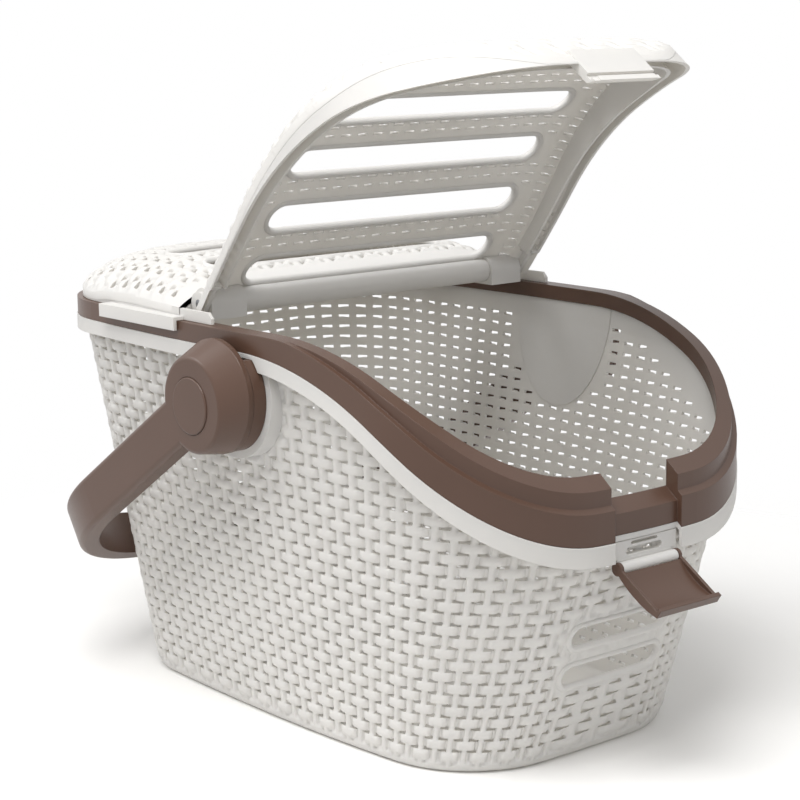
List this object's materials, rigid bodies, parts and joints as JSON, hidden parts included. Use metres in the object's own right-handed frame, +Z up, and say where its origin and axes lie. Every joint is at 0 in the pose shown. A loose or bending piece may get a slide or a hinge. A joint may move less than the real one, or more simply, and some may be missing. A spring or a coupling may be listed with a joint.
{
  "type": "pet carrier",
  "caption": "Basket-shaped pet carrier with a woven relief, a brown rim and fold-down handle, a hinged lid with long windows and a front latch.",
  "frame": {"origin": "on the floor, under the middle of the basket's rim", "axes": "+X towards the front, where the latch is; +Y to the carrier's left; +Z up"},
  "size_m": [0.5476, 0.386, 0.4848],
  "materials": {
    "cream_plastic": "moulded polypropylene with a satin surface",
    "brown_plastic": "moulded polypropylene with a fine matt texture",
    "steel": "zinc plated"
  },
  "bodies": {
    "carrier": {"basket": "cream_plastic", "rim_ring": "brown_plastic", "rear_cover": "cream_plastic", "pivot_housing_left": "brown_plastic", "pivot_housing_right": "brown_plastic", "pivot_bolt_left": "steel", "pivot_bolt_right": "steel", "pivot_washer_left": "steel", "pivot_washer_right": "steel", "housing_screws_left": "steel", "housing_screws_right": "steel", "latch_bracket": "cream_plastic", "latch_pin": "steel"},
    "lid": {"front_lid": "cream_plastic", "lid_hinge_pin_left": "steel", "lid_hinge_pin_right": "steel"},
    "handle": {"handle": "brown_plastic", "button_spring_left": "steel", "button_spring_right": "steel"},
    "button_left": {"release_button_left": "brown_plastic"},
    "button_right": {"release_button_right": "brown_plastic"},
    "latch": {"latch_lever": "brown_plastic"}
  },
  "joints": [
    {"name": "lid_hinge", "type": "hinge", "parent": "carrier", "child": "lid", "pos_m": [-0.0386, 0, 0.3028], "axis": [0, 1, 0], "range_deg": [0, 53]},
    {"name": "handle_hinge", "type": "hinge", "parent": "carrier", "child": "handle", "pos_m": [0.005, 0, 0.2405], "axis": [0, 1, 0], "range_deg": [0, 123.5]},
    {"name": "button_left_press", "type": "slide", "parent": "handle", "child": "button_left", "axis": [0, -1, 0], "range_m": [0, 0.003], "stiffness_N_per_m": 800, "springref_m": -0.002, "deforming": ["button_spring_left"]},
    {"name": "button_right_press", "type": "slide", "parent": "handle", "child": "button_right", "axis": [0, 1, 0], "range_m": [0, 0.003], "stiffness_N_per_m": 800, "springref_m": -0.002, "deforming": ["button_spring_right"]},
    {"name": "latch_hinge", "type": "hinge", "parent": "carrier", "child": "latch", "pos_m": [0.253, 0, 0.1455], "axis": [0, -1, 0], "range_deg": [0, 122.8]}
  ]
}
